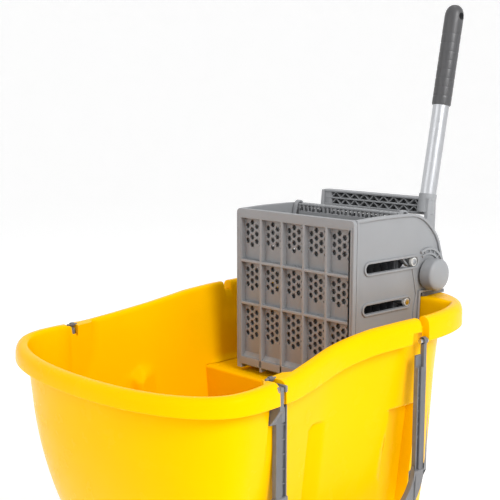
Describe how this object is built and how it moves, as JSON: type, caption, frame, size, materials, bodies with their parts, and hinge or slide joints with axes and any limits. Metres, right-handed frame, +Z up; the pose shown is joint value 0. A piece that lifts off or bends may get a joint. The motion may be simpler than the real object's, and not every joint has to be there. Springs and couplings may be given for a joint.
{
  "type": "mop bucket with wringer",
  "caption": "Moulded mop bucket on swivel casters with a side-press wringer hooked on its rear rim, a hand lever, and fold-down carry handles.",
  "frame": {"origin": "on the floor, under the middle of the overall box", "axes": "+Z up, front of the bucket towards -Y, the lever stands on the +X side at the rear"},
  "size_m": [0.4228, 0.5887, 0.7909],
  "materials": {
    "bucket_yellow": "glossy moulded polypropylene",
    "wringer_grey": "satin moulded plastic",
    "handle_grey": "satin moulded plastic",
    "dark_plastic": "satin moulded plastic",
    "grip_grey": "soft satin grip",
    "roller_nylon": "smooth nylon",
    "aluminium_tube": "drawn and brushed",
    "steel": "zinc plated",
    "wheel_rubber": "non-marking grey rubber"
  },
  "bodies": {
    "bucket": {"bucket_shell": "bucket_yellow", "handle_pin_front_left": "steel", "handle_pin_front_right": "steel", "handle_pin_rear_left": "steel", "handle_pin_rear_right": "steel", "caster_mount_front_left": "steel", "caster_mount_front_right": "steel", "caster_mount_rear_left": "steel", "caster_mount_rear_right": "steel"},
    "wringer": {"side_plate_left": "wringer_grey", "side_plate_right": "wringer_grey", "front_grid_panel": "wringer_grey", "front_strainer_plate": "wringer_grey", "drain_plate": "wringer_grey", "rear_panel": "wringer_grey", "pivot_shaft": "steel", "pivot_cap_left": "wringer_grey", "pivot_cap_right": "wringer_grey", "rim_hook_left": "dark_plastic", "rim_hook_right": "dark_plastic"},
    "lever": {"yoke_arm_left": "wringer_grey", "yoke_arm_right": "wringer_grey", "yoke_beam": "wringer_grey", "lever_tube": "aluminium_tube", "hand_grip": "grip_grey"},
    "press": {"press_plate": "wringer_grey", "upper_guide_rod": "steel", "lower_guide_rod": "steel", "upper_roller_left": "roller_nylon", "upper_roller_right": "roller_nylon", "lower_roller_left": "roller_nylon", "lower_roller_right": "roller_nylon"},
    "handle_left": {"carry_handle_left": "handle_grey"},
    "handle_right": {"carry_handle_right": "handle_grey"},
    "caster_front_left": {"caster_fork_front_left": "steel", "caster_axle_front_left": "steel"},
    "wheel_front_left": {"caster_wheel_front_left": "wheel_rubber"},
    "caster_front_right": {"caster_fork_front_right": "steel", "caster_axle_front_right": "steel"},
    "wheel_front_right": {"caster_wheel_front_right": "wheel_rubber"},
    "caster_rear_left": {"caster_fork_rear_left": "steel", "caster_axle_rear_left": "steel"},
    "wheel_rear_left": {"caster_wheel_rear_left": "wheel_rubber"},
    "caster_rear_right": {"caster_fork_rear_right": "steel", "caster_axle_rear_right": "steel"},
    "wheel_rear_right": {"caster_wheel_rear_right": "wheel_rubber"}
  },
  "joints": [
    {"name": "wringer_lift", "type": "slide", "parent": "bucket", "child": "wringer", "axis": [0, 0, 1], "range_m": [0, 0.25]},
    {"name": "lever_hinge", "type": "hinge", "parent": "wringer", "child": "lever", "pos_m": [0, 0.21516, 0.432], "axis": [1, 0, 0], "range_deg": [0, 50]},
    {"name": "press_slide", "type": "slide", "parent": "wringer", "child": "press", "axis": [0, -1, 0], "range_m": [0, 0.06]},
    {"name": "handle_left_hinge", "type": "hinge", "parent": "bucket", "child": "handle_left", "pos_m": [-0.189, -0.02984, 0.37], "axis": [0, 1, 0], "range_deg": [0, 165]},
    {"name": "handle_right_hinge", "type": "hinge", "parent": "bucket", "child": "handle_right", "pos_m": [0.189, -0.02984, 0.37], "axis": [0, -1, 0], "range_deg": [0, 165]},
    {"name": "caster_swivel_front_left", "type": "hinge", "parent": "bucket", "child": "caster_front_left", "pos_m": [-0.098, -0.13984, 0.09], "axis": [0, 0, 1], "continuous": true},
    {"name": "wheel_spin_front_left", "type": "hinge", "parent": "caster_front_left", "child": "wheel_front_left", "pos_m": [-0.098, -0.11784, 0.0375], "axis": [1, 0, 0], "continuous": true},
    {"name": "caster_swivel_front_right", "type": "hinge", "parent": "bucket", "child": "caster_front_right", "pos_m": [0.098, -0.13984, 0.09], "axis": [0, 0, 1], "continuous": true},
    {"name": "wheel_spin_front_right", "type": "hinge", "parent": "caster_front_right", "child": "wheel_front_right", "pos_m": [0.098, -0.11784, 0.0375], "axis": [1, 0, 0], "continuous": true},
    {"name": "caster_swivel_rear_left", "type": "hinge", "parent": "bucket", "child": "caster_rear_left", "pos_m": [-0.104, 0.16016, 0.09], "axis": [0, 0, 1], "continuous": true},
    {"name": "wheel_spin_rear_left", "type": "hinge", "parent": "caster_rear_left", "child": "wheel_rear_left", "pos_m": [-0.104, 0.18216, 0.0375], "axis": [1, 0, 0], "continuous": true},
    {"name": "caster_swivel_rear_right", "type": "hinge", "parent": "bucket", "child": "caster_rear_right", "pos_m": [0.104, 0.16016, 0.09], "axis": [0, 0, 1], "continuous": true},
    {"name": "wheel_spin_rear_right", "type": "hinge", "parent": "caster_rear_right", "child": "wheel_rear_right", "pos_m": [0.104, 0.18216, 0.0375], "axis": [1, 0, 0], "continuous": true}
  ],
  "couplings": [
    {"joint": "press_slide", "follows": "lever_hinge", "m_per_rad": 0.06875}
  ]
}
